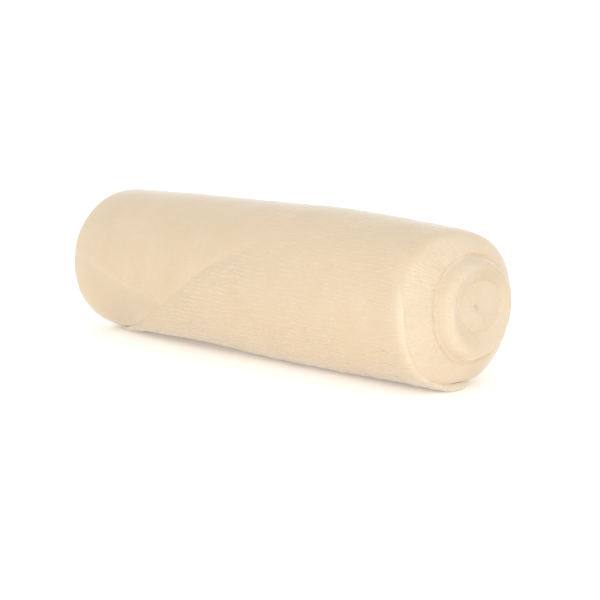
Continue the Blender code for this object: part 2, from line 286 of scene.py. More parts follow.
def underDepth(back, angle):
    # How far the wound roll lies inside the outermost cloth: one or two layers under
    # the loose end, fading out beyond its edges, deeper on the facet below the crease.
    form = underForm
    angle = signed(angle)
    left = np.maximum(0.0, back - readTable(looseEdge, "angle", angle, "back"))
    above = np.maximum(0.0, arcLength(angle - cutAngle(back)))
    beyond = np.hypot(left / form["fadeLeft"], above / form["fadeAbove"])
    flapLine = readTable(flapEdge, "angle", angle, "back")
    second = smooth((back - flapLine + form["secondLead"]) / form["secondFade"])
    layers = form["oneLayer"] + second * (form["twoLayers"] - form["oneLayer"])
    layers = layers * nearCut(back, angle, form["cutShare"]) * nearFold(back, angle)
    step = readTable(foldStep, "angle", angle, "share")
    layers = layers * (step + (1 - step) * (1 - smooth(left / form["grooveFade"])))
    layers = layers * (1 - form["rimThin"] * bell(back, form["rimThinWidth"])) + foldGroove(back, angle)
    depth = layers * (1 - smooth(beyond))
    facet = form["facetDepth"] * flatBelowCrease(back, angle) * smooth(left / form["facetLeft"])
    depth = np.where(left > 0, np.maximum(depth, facet), depth)
    depth = depth * (1 - smooth((back - form["shoulderStart"]) / form["shoulderFade"])) * pastSeam(angle)
    offLine = arcLength(angle - readTable(crease, "back", back, "angle"))
    fade = smooth((back - crease[0]["back"]) / form["ridgeStart"])
    fade = fade * (1 - smooth((back - form["ridgeEnd"]) / form["ridgeFade"]))
    return depth - form["ridge"] * fade * bell(offLine, form["ridgeWidth"])


def toPoints(back, radius, angle, lowest):
    # A point at back, radius and angle, in metres: x runs against back, y and z go
    # round the axis, and z is kept above `lowest`, which makes the flat spot.
    turn = np.radians(angle)
    x = rimX - back
    y = -radius * np.cos(turn)
    z = np.maximum(axisHeight + radius * np.sin(turn), lowest)
    return np.stack(np.broadcast_arrays(x, y, z), axis=-1) / metre


def newObject(name, points, loops, sizes, loopUv, weights):
    # A smooth-shaded object from its corners face by face, with the cloth's own UV map
    # in millimetres and one weight at each point for each look.
    data = bpy.data.meshes.new(name)
    data.vertices.add(len(points))
    data.vertices.foreach_set("co", points.astype(np.float32).reshape(-1))
    data.loops.add(len(loops))
    data.loops.foreach_set("vertex_index", loops.astype(np.int32))
    data.polygons.add(len(sizes))
    starts = np.concatenate([[0], np.cumsum(sizes)[:-1]])
    data.polygons.foreach_set("loop_start", starts.astype(np.int32))
    data.update(calc_edges=True)
    layer = data.uv_layers.new(name="clothMm")
    layer.uv.foreach_set("vector", loopUv.astype(np.float32).reshape(-1))
    for key, values in weights.items():
        made = data.attributes.new(key, "FLOAT", "POINT")
        made.data.foreach_set("value", values.astype(np.float32).reshape(-1))
    data.validate()
    data.shade_smooth()
    obj = bpy.data.objects.new(name, data)
    bpy.context.scene.collection.objects.link(obj)
    return obj


def gridLoops(rows, cols, uv, rowsClosed):
    # The corners of four-sided faces over rings of points, and their places on the UV
    # map. The rings close on themselves, and so do the rows where rowsClosed is set.
    # There uv has one row or column more than the points, so that it doesn't run back.
    i = np.arange(rows if rowsClosed else rows - 1)[:, None]
    j = np.arange(cols)[None, :]
    corners = [(i, j), (i + 1, j), (i + 1, j + 1), (i, j + 1)]
    loops = np.stack([(a % rows) * cols + (b % cols) for a, b in corners], axis=-1)
    loopUv = np.stack([uv[a, b] for a, b in corners], axis=-2)
    return loops.reshape(-1), loopUv.reshape(-1, 2)


def woundMesh(name, points, uv, weights, rowsClosed=True):
    # A skin over rings of points. Where its rows don't close, a small flat face closes
    # the first ring and the last.
    rows, cols = points.shape[:2]
    loops, loopUv = gridLoops(rows, cols, uv, rowsClosed)
    sizes = np.full(len(loops) // 4, 4)
    if not rowsClosed:
        first, last = np.arange(cols), (rows - 1) * cols + np.arange(cols)[::-1]
        loops = np.concatenate([loops, first, last])
        loopUv = np.concatenate([loopUv, uv[0, :cols], uv[rows - 1, :cols][::-1]])
        sizes = np.concatenate([sizes, [cols, cols]])
    return newObject(name, points.reshape(-1, 3), loops, sizes, loopUv, weights)


def woundUv(turns, profile, wefts, rowsClosed=True):
    # u counts the wefts round the roll and v runs along the profile, in millimetres.
    v = pathLength(profile)
    if rowsClosed:
        v = np.append(v, v[-1] + 1.0)
    u = turns / 360 * wefts * gauzeFinish["weftPitch"]
    return np.stack(np.broadcast_arrays(u[None, :], v[:, None]), axis=-1)


def softCurve(stops, steps):
    # A smooth line through the stops, an array of (back, radius): between two stops
    # the cubic whose slope at each is half the way between its neighbours.
    before, start, end, after = stops[:-3, None], stops[1:-2, None], stops[2:-1, None], stops[3:, None]
    t = (np.arange(steps) / steps)[None, :, None]
    line = start + 0.5 * t * (end - before)
    line = line + t * t * (before - 2.5 * start + 2 * end - 0.5 * after)
    line = line + t ** 3 * (1.5 * (start - end) + 0.5 * (after - before))
    return np.concatenate([line.reshape(-1, 2), stops[-2][None]])


def asStops(rows):
    # A profile's rows as an array of (back, radius).
    return np.array([[row["back"], row["radius"]] for row in rows])


def twoEnds(left, right, steps):
    # The profile of an inner group: its left end, then its right end.
    return np.vstack([softCurve(asStops(left), steps), softCurve(asStops(right), steps)])


def pathLength(profile):
    # Length of cloth along a profile of (back, radius), from its first point.
    return np.concatenate([[0.0], np.cumsum(np.hypot(*np.diff(profile, axis=0).T))])


# The wound roll is three groups of turns, each pushed out further at the right.
outerForm = {
    "around": 480, "wefts": 126, "barrelSteps": 132,
    "shoulderSteps": 14, "shoulderShare": 0.90, "cornerSteps": 5, "curveSteps": 3,
    "reliefFrom": 10.6, "reliefFade": 0.8,
}
outerLooks = {
    "bandFrom": 1.5, "bandFade": 2.0, "bandAngle": 10.0, "bandTurn": 80.0,
    "leftLead": 6.0, "leftFade": 12.0, "farFrom": 90.0, "farFade": 9.0,
    "facetLow": -80.0, "facetTurn": 20.0,
    "dashes": 0.5, "dashesLeft": 0.25, "dashesBand": 1.1,
    "ribs": 0.4, "ribsLeft": 0.35, "ribsBand": 0.15, "ribsFacet": 0.5,
    # painted light on the band and the far end, painted shade on the facet and left of the fold
    "bandLight": 0.35, "farLight": 0.35, "facetShade": 0.8, "leftShade": 0.1,
}
leftFace = [  # far end of the outer turns, from their bore out to the shoulder
    {"back": 92.0, "radius": 10.00}, {"back": 99.6, "radius": 10.00},
    {"back": 101.1, "radius": 10.05}, {"back": 101.6, "radius": 10.50},
    {"back": 101.55, "radius": 11.3}, {"back": 101.35, "radius": 12.2},
    {"back": 101.05, "radius": 13.2},
]
rightBand = [  # right end of the outer turns, from the rim in to their bore
    {"back": 0.6, "radius": 15.67}, {"back": 0.0, "radius": 15.40},
    {"back": -0.8, "radius": 14.50}, {"back": -1.45, "radius": 13.30},
    {"back": -2.0, "radius": 11.90}, {"back": -2.28, "radius": 11.15},
    {"back": -2.31, "radius": 10.80}, {"back": -2.24, "radius": 10.40},
    {"back": -2.08, "radius": 10.00}, {"back": -1.5, "radius": 9.70},
    {"back": 0.0, "radius": 9.62}, {"back": 6.0, "radius": 9.60},
]
middleForm = {
    "around": 360, "curveSteps": 6, "wefts": 70, "turnPitch": 0.42, "turnRelief": 0.03,
    "wanderAround": 18, "wanderSize": 0.9, "turnsRight": -3.0, "turnsLeft": 99.5,
}
middleLooks = {  # painted light over the ring, less of it and painted shade in the dish inside the crest, except at its lower right, and high at the right
    "dashes": 0.3, "ribs": 0.2, "dishRadius": 8.9, "dishFade": 1.6,
    "lowRight": -125.0, "lowRightTurn": 50.0, "highRight": 110.0, "highRightTurn": 42.0,
    "paintedLight": 0.45, "dishLightCut": 0.25, "highRightLightCut": 0.25, "dishShade": 0.45, "highRightShade": 0.35,
}
middleLeft = [
    {"back": 92.0, "radius": 4.95}, {"back": 99.0, "radius": 4.98},
    {"back": 99.9, "radius": 5.05}, {"back": 100.3, "radius": 5.5},
    {"back": 100.55, "radius": 6.4}, {"back": 100.8, "radius": 7.5},
    {"back": 101.05, "radius": 8.7}, {"back": 101.15, "radius": 9.5},
    {"back": 101.1, "radius": 10.1}, {"back": 100.6, "radius": 10.45},
    {"back": 99.0, "radius": 10.55}, {"back": 90.0, "radius": 10.55},
]
middleRight = [
    {"back": 8.0, "radius": 10.9}, {"back": -0.4, "radius": 10.88},
    {"back": -1.3, "radius": 10.82}, {"back": -1.95, "radius": 10.70},
    {"back": -2.17, "radius": 10.45}, {"back": -2.30, "radius": 10.15},
    {"back": -2.44, "radius": 9.94}, {"back": -2.85, "radius": 9.77},
    {"back": -3.35, "radius": 9.56}, {"back": -3.85, "radius": 9.31},
    {"back": -4.30, "radius": 9.02}, {"back": -4.66, "radius": 8.70},
    {"back": -4.90, "radius": 8.34}, {"back": -5.00, "radius": 7.94},
    {"back": -4.97, "radius": 7.5}, {"back": -4.85, "radius": 7.05},
    {"back": -4.66, "radius": 6.55}, {"back": -4.45, "radius": 6.0},
    {"back": -4.29, "radius": 5.55}, {"back": -4.12, "radius": 5.15},
    {"back": -3.85, "radius": 4.85}, {"back": -3.0, "radius": 4.7},
    {"back": 6.0, "radius": 4.6},
]
coreForm = {"around": 240, "curveSteps": 6, "wefts": 36, "pitOffset": 1.2, "discRadius": 5.0}
# painted light and painted shade over the whole core, the disc at the right end
coreLooks = {"dashes": 0.2, "ribs": 0.2, "paintedLight": 0.3, "paintedShade": 0.4}
coreLeft = [
    {"back": 98.9, "radius": 0.02}, {"back": 99.0, "radius": 0.04},
    {"back": 99.35, "radius": 0.7}, {"back": 99.6, "radius": 1.7},
    {"back": 99.85, "radius": 3.2}, {"back": 99.97, "radius": 4.3},
    {"back": 99.95, "radius": 4.95}, {"back": 99.6, "radius": 5.35},
    {"back": 98.0, "radius": 5.4}, {"back": 90.0, "radius": 5.4},
]
coreRight = [
    {"back": 8.0, "radius": 5.7}, {"back": -3.0, "radius": 5.66},
    {"back": -3.75, "radius": 5.58}, {"back": -4.05, "radius": 5.42},
    {"back": -4.22, "radius": 5.15}, {"back": -4.33, "radius": 4.8},
    {"back": -4.42, "radius": 4.2}, {"back": -4.48, "radius": 3.4},
    {"back": -4.55, "radius": 2.4}, {"back": -4.56, "radius": 1.5},
    {"back": -4.40, "radius": 0.8}, {"back": -3.95, "radius": 0.1},
    {"back": -3.90, "radius": 0.02},
]
ringForm = {  # the inner turns lie a little behind the middle of the roll at the right
    "behind": 0.5, "down": 0.05, "full": 10.4, "none": 13.8, "reach": 30.0, "outFade": 1.2,
    "discWide": 0.10, "discLow": 0.06, "discUp": 0.5, "discFull": 5.8, "discNone": 8.4,
    "lineLeast": 0.75, "lineVary": 0.5, "lineVaryTurn": 8.0,
    "mottle": 0.08, "mottleSize": 1.7, "mottleFiner": 2.3, "farMottle": 1.5, "farFrom": 99.2,
}
endLines = [  # soft lines between turns at the right end: place, depth and spread
    {"radius": 10.55, "width": 0.38, "depth": 0.20, "angle": -50.0, "spread": 30.0},
    {"radius": 10.75, "width": 0.45, "depth": 0.30, "angle": 5.0, "spread": 35.0},
    {"radius": 9.82, "width": 0.26, "depth": 0.38, "angle": 5.0, "spread": 40.0},
    {"radius": 9.80, "width": 0.30, "depth": 0.16, "angle": -75.0, "spread": 22.0},
    {"radius": 11.20, "width": 0.70, "depth": 0.40, "angle": 66.0, "spread": 7.0},
    {"radius": 11.90, "width": 0.60, "depth": 0.25, "angle": 47.0, "spread": 6.0},
    {"radius": 10.30, "width": 0.40, "depth": 0.22, "angle": 98.0, "spread": 14.0},
    {"radius": 8.60, "width": 0.35, "depth": 0.25, "angle": -50.0, "spread": 9.0},
    {"radius": 5.30, "width": 0.45, "depth": 0.20, "angle": 45.0, "spread": 55.0},
    {"radius": 5.30, "width": 0.40, "depth": 0.12, "angle": -50.0, "spread": 30.0},
    {"radius": 2.00, "width": 1.60, "depth": 0.06, "angle": 176.0, "spread": 9.0},
]


def atRightEnd(points, radius, angle):
    # Shifts the inner turns behind the axis, and sinks soft lines and a random mottle
    # into the end: x less the sum of depth * bell(radius) * bell(angle) over the lines.
    # Whole numbers added in the calls for noise only choose which heights are read.
    form = ringForm
    back = rimX - points[..., 0] * metre
    outside = smooth(-back / form["outFade"])
    inner = smooth((form["none"] - radius) / (form["none"] - form["full"]))
    inner = inner * smooth((form["reach"] - back) / form["reach"])
    points[..., 1] += form["behind"] * inner / metre
    points[..., 2] -= form["down"] * inner / metre
    # The disc in the middle is a little wider than high, and sits a little high.
    inDisc = smooth((form["discNone"] - radius) / (form["discNone"] - form["discFull"])) * outside
    turn = np.radians(angle)
    points[..., 1] -= form["discWide"] * inDisc * radius * np.cos(turn) / metre
    points[..., 2] += inDisc * (form["discUp"] - form["discLow"] * radius * np.sin(turn)) / metre
    sunk = np.zeros(points.shape[:2])
    for line in endLines:
        across = bell(radius - line["radius"], line["width"])
        sunk = sunk + line["depth"] * across * bell(signed(angle - line["angle"]), line["spread"])
    vary = softNoise(angle / form["lineVaryTurn"] + 60, radius + 3, "endLines")
    sunk = sunk * (form["lineLeast"] + form["lineVary"] * vary)
    y, z = points[..., 1] * metre / form["mottleSize"], points[..., 2] * metre / form["mottleSize"]
    fine = softNoise(form["mottleFiner"] * y + 80, form["mottleFiner"] * z + 80, "fineMottle")
    mottle = form["mottle"] * (softNoise(y + 40, z + 40, "mottle") + 0.5 * fine)
    points[..., 0] -= (sunk + mottle) * outside / metre
    points[..., 0] += form["farMottle"] * mottle * smooth(back - form["farFrom"]) / metre


def turnedPoints(profile, angles, relief):
    # A profile carried round the axis. The roll's unevenness is added in full at the
    # outermost radius and fades with the square of the radius towards the centre.
    form = underForm
    back, stationRadius = profile[:, :1], profile[:, 1:]
    onBarrel = np.clip(back, 0.0, rollForm["clothWidth"])
    angle = signed(angles)
    depth = underDepth(onBarrel, angle)
    endFade = 1 - smooth((form["endFadeAngle"] - angle) / form["endFadeTurn"])
    depth = np.where(back < 0, depth * endFade, depth)
    share = np.minimum(1.0, stationRadius / rollForm["radius"])
    change = outerRadius(onBarrel, angle) - depth - rollForm["radius"]
    turned = stationRadius + change * share ** 2 + relief
    # The roll keeps clear of the loose end below it, and its ends rise from the floor.
    underLoose = pastSeam(angle) * smooth((form["clearAbove"] - angle) / form["clearTurn"])
    nearLip = bell(onBarrel, 2 * looseForm["lipBack"])
    nearLip = (looseForm["lipThickness"] - looseForm["lipClear"]) * nearLip * atLipTurn(angle)
    clear = underLoose * (form["oneLayer"] + nearLip) * (back < looseEdge[0]["back"] + form["clearLeft"])
    inward = rollForm["radius"] - stationRadius
    lift = form["endLift"] * inward * smooth((form["endLiftShare"] - share) / form["endLiftFade"])
    return toPoints(back, turned, angle, clear + lift)


def outerWeights(back, angle, shape):
    # Dashes are strongest on the band at the right end and ribs left of the fold. The
    # facet below the crease, and a little the part left of the fold, get painted shade, and both ends painted
    # light.
    looks = outerLooks
    onBand = smooth((looks["bandFrom"] - back) / looks["bandFade"])
    leftPart = back - readTable(looseEdge, "angle", angle, "back") + looks["leftLead"]
    leftPart = smooth(leftPart / looks["leftFade"])
    facet = flatBelowCrease(np.clip(back, 0, rollForm["clothWidth"]), angle)
    facet = facet * smooth((angle - looks["facetLow"]) / looks["facetTurn"])
    far = smooth((back - looks["farFrom"]) / looks["farFade"])
    dashes = (1 - onBand) * (looks["dashes"] - looks["dashesLeft"] * leftPart)
    dashes = dashes + looks["dashesBand"] * onBand * bell(angle - looks["bandAngle"], looks["bandTurn"])
    ribs = (1 - onBand) * (looks["ribs"] + looks["ribsLeft"] * leftPart) + looks["ribsBand"] * onBand
    ribs = ribs * (1 - looks["ribsFacet"] * facet)
    # painted light on the band at the right end and on the far left end
    paintedLight = np.broadcast_to(looks["bandLight"] * onBand + looks["farLight"] * far, shape)
    # painted shade on the facet below the crease and, a little, left of the fold
    paintedShade = np.maximum(looks["facetShade"] * facet, looks["leftShade"] * leftPart) * (1 - onBand)
    return {"dashes": dashes, "ribs": ribs, "paintedLight": paintedLight, "paintedShade": paintedShade}


def makeOuterTurns():
    # Barrel with its left shoulder (a superellipse: share^p + (r / R)^p = 1), the
    # margin that bends in over the right end, and a plain bore that doesn't show.
    form, roll = outerForm, rollForm
    shoulderBack = roll["clothWidth"] - roll["shoulderLength"]
    share = np.linspace(form["shoulderShare"], 0.0, form["shoulderSteps"] + 1)[:, None]
    inner = (1 - share ** roll["shoulderPower"]) ** (1 / roll["shoulderPower"])
    shoulder = np.hstack([shoulderBack + share * roll["shoulderLength"], roll["radius"] * inner])
    left = softCurve(np.vstack([asStops(leftFace), shoulder[:2]]), form["curveSteps"])
    barrelBack = np.linspace(shoulderBack, roll["cornerLength"], form["barrelSteps"] + 1)[1:, None]
    barrel = np.hstack([barrelBack, np.full_like(barrelBack, roll["radius"])])
    cornerShare = (np.arange(1, form["cornerSteps"]) / form["cornerSteps"])[:, None]
    corner = np.hstack([roll["cornerLength"] * (1 - cornerShare),
                        roll["radius"] - roll["cornerDrop"] * cornerShare ** 2])
    right = softCurve(asStops(rightBand), form["curveSteps"])
    profile = np.vstack([left[:-1], shoulder, barrel, corner, right])
    back, radius = profile[:, :1], profile[:, 1:]
    turns = np.linspace(0, 360, form["around"] + 1) + roll["seamAngle"]
    angle = turns[None, :-1]
    length = pathLength(profile)
    fromShoulder = length[:, None] - length[len(left) + len(shoulder) - 2]
    relief = smooth((radius - form["reliefFrom"]) / form["reliefFade"])
    relief = relief * crepeRelief(shoulderBack - fromShoulder, angle)
    points = turnedPoints(profile, angle, relief)
    atRightEnd(points, radius, angle)
    uv = woundUv(turns - roll["seamAngle"], profile, form["wefts"])
    return woundMesh("outerTurns", points, uv, outerWeights(back, signed(angle), points.shape[:2]))


def makeMiddleTurns():
    # The ring that bulges out at the right and lies in at the left. Its turns show as
    # fine steps: a saw line that climbs once for each turn and winds in as a spiral.
    form, looks = middleForm, middleLooks
    profile = twoEnds(middleLeft, middleRight, form["curveSteps"])
    back, radius = profile[:, :1], profile[:, 1:]
    turns = np.linspace(0, 360, form["around"] + 1)
    angle = turns[None, :-1]
    spiral = radius / form["turnPitch"] - angle / 360
    saw = spiral - np.floor(spiral)
    wander = softNoise(angle / 360 * form["wanderAround"], radius / form["wanderSize"],
                       "turnEdges", form["wanderAround"])
    atEnds = (back < form["turnsRight"]) | (back > form["turnsLeft"])
    relief = -form["turnRelief"] * saw * (0.5 + 0.5 * wander) * atEnds
    points = turnedPoints(profile, angle, 0.0)
    points[..., 0] += np.where(back < 0, 1, -1) * relief / metre
    atRightEnd(points, radius, angle)
    inDish = smooth((looks["dishRadius"] - radius) / looks["dishFade"])
    lowRight = bell(signed(signed(angle) - looks["lowRight"]), looks["lowRightTurn"])
    highRight = bell(signed(signed(angle) - looks["highRight"]), looks["highRightTurn"])
    # Painted light over the ring; less of it and painted shade in the dish, except at its lower right, and
    # high at the right.
    paintedLight = looks["paintedLight"] - looks["dishLightCut"] * inDish * (1 - lowRight) - looks["highRightLightCut"] * highRight
    paintedShade = looks["dishShade"] * inDish * (1 - lowRight) + looks["highRightShade"] * highRight
    weights = {"dashes": np.full(paintedLight.shape, looks["dashes"]), "ribs": np.full(paintedLight.shape, looks["ribs"]),
               "paintedLight": paintedLight, "paintedShade": paintedShade}
    return woundMesh("middleTurns", points, woundUv(turns, profile, form["wefts"]), weights)


def makeCoreTurns():
    # The innermost turns: a plug with a pit at each end, off centre at the right.
    form = coreForm
    profile = twoEnds(coreLeft, coreRight, form["curveSteps"])
    back, radius = profile[:, :1], profile[:, 1:]
    turns = np.linspace(0, 360, form["around"] + 1)
    angle = turns[None, :-1]
    points = turnedPoints(profile, angle, 0.0)
    shift = form["pitOffset"] * (1 - np.clip(radius / form["discRadius"], 0, 1)) * (back < 0)
    points[..., 1] -= shift / metre
    atRightEnd(points, radius, angle)
    uv = woundUv(turns, profile, form["wefts"], rowsClosed=False)
    weights = {key: np.full(points.shape[:2], weight) for key, weight in coreLooks.items()}
    return woundMesh("coreTurns", points, uv, weights, rowsClosed=False)


# The loose end is thin crepe with its top left corner folded under.
looseLooks = {
    "dashes": 0.6, "dashesFront": 0.2, "frontFrom": 20.0, "frontTurn": 20.0,
    "dashesLow": 0.7, "lowFrom": -2.0, "lowTurn": 30.0,
    "dashesFold": 1.7, "foldInside": 8.0, "foldSpread": 5.0, "foldFrom": 30.0, "foldTurn": 20.0,
    "calm": 0.75, "calmSpread": 8.0, "calmFrom": -18.0, "calmTurn": 12.0,
    # painted shade near the fold, painted light at the rim and along the lip
    "ribs": 0.35, "paintedShade": 0.4, "shadeSpread": 22.0, "shadeFrom": 38.0, "shadeTurn": 20.0,
    "litRim": 1.2, "litLip": 3.0,
}


def lineAcross(edge, under):
    # A line across the cloth: the top layer from the right selvedge to the fold, half a
    # circle round the fold, and the flap back under it. It gives back, the drop below
    # the top layer, and the way outwards, split into its parts along back and upwards.
    form = looseForm
    nose = form["noseRadius"]
    topBack = (edge - nose) * np.linspace(0, 1, form["acrossTop"])[None, :]
    turn = np.radians(np.linspace(90, -90, form["acrossNose"] + 2)[1:-1][None, :])
    noseBack = edge - nose + nose * np.cos(turn)
    flapBack = (edge - nose) + (under - edge + nose) * np.linspace(0, 1, form["acrossFlap"])[None, :]
    everyRow = np.ones_like(noseBack)
    back = np.hstack([topBack, noseBack, flapBack])
    drop = np.hstack([np.zeros_like(topBack), (nose - nose * np.sin(turn)) * everyRow,
                      np.full_like(flapBack, 2 * nose)])
    outwardBack = np.hstack([np.zeros_like(topBack), np.cos(turn) * everyRow, np.zeros_like(flapBack)])
    outwardUp = np.hstack([np.ones_like(topBack), np.sin(turn) * everyRow, -np.ones_like(flapBack)])
    return back, drop, outwardBack, outwardUp


def looseRadius(back, angle, edge, thin):
    # Outer radius of the loose end: the outermost cloth with a sag low on the front, a
    # pocket at the folded corner, a trough, a rise over the flap, and edges let down.
    form, roll = looseForm, rollForm
    sag = form["sag"] * bell(angle - form["sagAngle"], form["sagTurn"])
    sag = sag * bell(back - form["sagBack"], form["sagSpread"])
    reach = np.hypot(arcLength(angle - form["pocketAngle"]), back - form["pocketBack"])
    lift = form["pocketLift"] * bell(reach, form["pocketSpread"])
    flapLine = readTable(flapEdge, "angle", angle, "back")
    rise = form["flapRise"] * smooth((back - flapLine + form["flapLead"]) / form["flapRiseWidth"])
    rise = rise * smooth((angle - form["flapFrom"]) / form["flapTurn"]) * thin
    step = readTable(foldStep, "angle", angle, "share")
    rise = rise * (step + (1 - step) * smooth((edge - back) / form["foldFade"]))
    rise = rise - form["foldRound"] * step * (1 - smooth((edge - back) / form["foldRoundWidth"]))
    rise = rise - foldGroove(back, angle)
    dip = form["dip"] * smooth((form["dipFrom"] - angle) / form["dipTurn"])
    trough = form["trough"] * bell(back - form["troughBack"], form["troughSpread"])
    trough = trough * smooth((angle - form["troughLow"]) / form["troughLowTurn"])
    trough = trough * smooth((form["troughHigh"] - angle) / form["troughHighTurn"])
    corner = roll["cornerDrop"] * np.clip(1 - back / roll["cornerLength"], 0, 1) ** 2
    corner = corner + form["rimBend"] * np.clip(1 - back / form["rimBendLength"], 0, 1) ** 2
    corner = corner * (1 - atLipTurn(angle))
    intoCut = form["cutSink"] * (1 - smooth(arcLength(cutAngle(back) - angle) / form["cutSinkWidth"]))
    return outerRadius(back, angle) + sag + lift + rise - dip - trough - corner - intoCut


def looseWeights(back, angle, edge):
    # Dashes grow stronger down the front and just inside the fold, and are calm along
    # the lower part of the fold. Painted shade lies near the fold, and painted light at the rim and along the
    # lip.
    looks = looseLooks
    onFront = smooth((looks["frontFrom"] - angle) / looks["frontTurn"])
    dashes = looks["dashes"] + looks["dashesFront"] * onFront
    dashes = dashes + looks["dashesLow"] * smooth((looks["lowFrom"] - angle) / looks["lowTurn"])
    byFold = looks["dashesFold"] * bell(back - edge + looks["foldInside"], looks["foldSpread"])
    dashes = np.maximum(dashes, byFold * smooth((looks["foldFrom"] - angle) / looks["foldTurn"]))
    calm = looks["calm"] * bell(edge - back, looks["calmSpread"])
    dashes = dashes * (1 - calm * smooth((looks["calmFrom"] - angle) / looks["calmTurn"]))
    # painted shade near the fold, on its upper part
    paintedShade = looks["paintedShade"] * bell(edge - back, looks["shadeSpread"])
    paintedShade = paintedShade * smooth((looks["shadeFrom"] - angle) / looks["shadeTurn"])
    # painted light at the rim and along the lip
    paintedLight = np.maximum(bell(back, looks["litRim"]), atLipTurn(angle) * bell(back, looks["litLip"]))
    return {"dashes": dashes, "ribs": np.full_like(dashes, looks["ribs"]), "paintedLight": paintedLight, "paintedShade": paintedShade}


def roundCloth(values):
    # Values on the line across the cloth, carried round a ring of the closed sheet: the
    # outer face, the flap's end, the inner face in reverse, and the rim.
    return np.concatenate([values, values[:, -1:], values[:, ::-1], values[:, :1]], axis=1)


def makeLooseEnd():
    # The line across the cloth, carried from the underside up the front to the cut
    # edge, with a second line one thickness away that closes the sheet.
    form = looseForm
    first = rollForm["seamAngle"]
    rows = form["wefts"] * form["rowsPerWeft"] + 1
    # The first and last rows lie close to their neighbours, so that the ends stay crisp.
    share = np.concatenate([[0.0], np.linspace(form["endRow"], 1 - form["endRow"], rows - 2), [1.0]])[:, None]
    foldAngle = first + share * (form["cutAtCorner"] - first)
    edge = readTable(looseEdge, "angle", foldAngle, "back")
    under = np.minimum(readTable(flapEdge, "angle", foldAngle, "back"), edge - form["leastFlap"])
    back, drop, outwardBack, outwardUp = lineAcross(edge, under)
    upper = drop < form["upperDrop"]
    across = back / edge
    angle = first + share * (cutAngle(across * form["cornerBack"]) - first)
    crepe = crepeRelief(back, angle) * upper
    atLip = atLipTurn(angle)
    bead = form["beadShare"] * bell(back, form["beadSpread"]) * (1 - atLip) * upper
    lip = form["lipThickness"] * bell(back, form["lipBack"]) * atLip * upper
    thin = nearCut(back, angle, form["cutShare"]) * nearFold(back, angle)
    half = 0.5 * form["thickness"] * (1 + bead) * thin
    outer = looseRadius(back, angle, edge, thin)
    middle = outer - half - drop * thin + crepe
    wave = form["rimWave"] * np.cos(math.tau * angle / form["rimWaveTurn"]) - form["rimSetback"]
    slide = wave * (1 - across) + form["lipReach"] * atLip * bell(back, form["lipReachBack"])

    def layer(side):
        # One face of the cloth: side +1 is outside, -1 inside, 0 the rounded edge.
        outwards = outwardUp * half * side
        lowest = np.maximum(0.0, outer - (middle - crepe + outwards) + lip * (side < 0))
        radius = middle + outwards - lip * (side < 0)
        return toPoints(back - slide + outwardBack * half * side, radius, angle, lowest)

    outside, inside, edgeLine = layer(1), layer(-1), layer(0)
    edgeLine[:, [0, -1], 0] += form["edgeRound"] * form["thickness"] / metre
    points = np.concatenate([outside, edgeLine[:, -1:], inside[:, ::-1], edgeLine[:, :1]], axis=1)
    onTop = np.arange(back.shape[1]) < form["acrossTop"]
    v = np.where(onTop, back, edge + np.abs(back - edge))
    u = share * form["wefts"] * gauzeFinish["weftPitch"] + form["weftSlant"] * (1 - share) * back
    uv = roundCloth(np.stack([u, v], axis=-1))
    uv = np.concatenate([uv, uv[:, :1]], axis=1)
    weights = {key: roundCloth(weight) for key, weight in looseWeights(back, angle, edge).items()}
    return sheetMesh("looseEnd", points, uv, back.shape[1], weights)


def sheetMesh(name, points, uv, across, weights):
    # Rings of points, each down one face and back along the other. At the first and the
    # last ring a strip of faces joins the two faces, with a triangle at each of its tips.
    rows, cols = points.shape[:2]
    loops, loopUv = gridLoops(rows, cols, uv, rowsClosed=False)
    k = np.arange(across - 1)
    mirror = 2 * across - k
    strip = np.stack([k, k + 1, mirror - 1, mirror], axis=-1)
    tips = np.array([[0, 2 * across, cols - 1], [across - 1, across, across + 1]])
    for part in (strip, tips):
        for row, way in ((0, 1), (rows - 1, -1)):  # the last ring is seen from the other side
            places = part[:, ::way].reshape(-1)
            loops = np.concatenate([loops, row * cols + places])
            loopUv = np.concatenate([loopUv, uv[row, places]])
    fourSided = (rows - 1) * cols + 2 * len(strip)
    sizes = np.concatenate([np.full(fourSided, 4), np.full(2 * len(tips), 3)])
    return newObject(name, points.reshape(-1, 3), loops, sizes, loopUv, weights)


def toLinear(hexColour):
    # sRGB hex to the linear values that Blender's shaders take.
    parts = [int(hexColour[k:k + 2], 16) / 255 for k in (1, 3, 5)]
    return tuple(c / 12.92 if c <= 0.04045 else ((c + 0.055) / 1.055) ** 2.4 for c in parts) + (1.0,)


def addNode(tree, kind, settings=None, links=None):
    # A node of that kind. Settings name a socket, by its name or number, or a property,
    # and links name the socket that each source runs to.
    node = tree.nodes.new(kind)
    for key, value in (settings or {}).items():
        if isinstance(key, int) or key in node.inputs:
            node.inputs[key].default_value = value
        else:
            setattr(node, key, value)
    for key, source in (links or {}).items():
        tree.links.new(source, node.inputs[key])
    return node


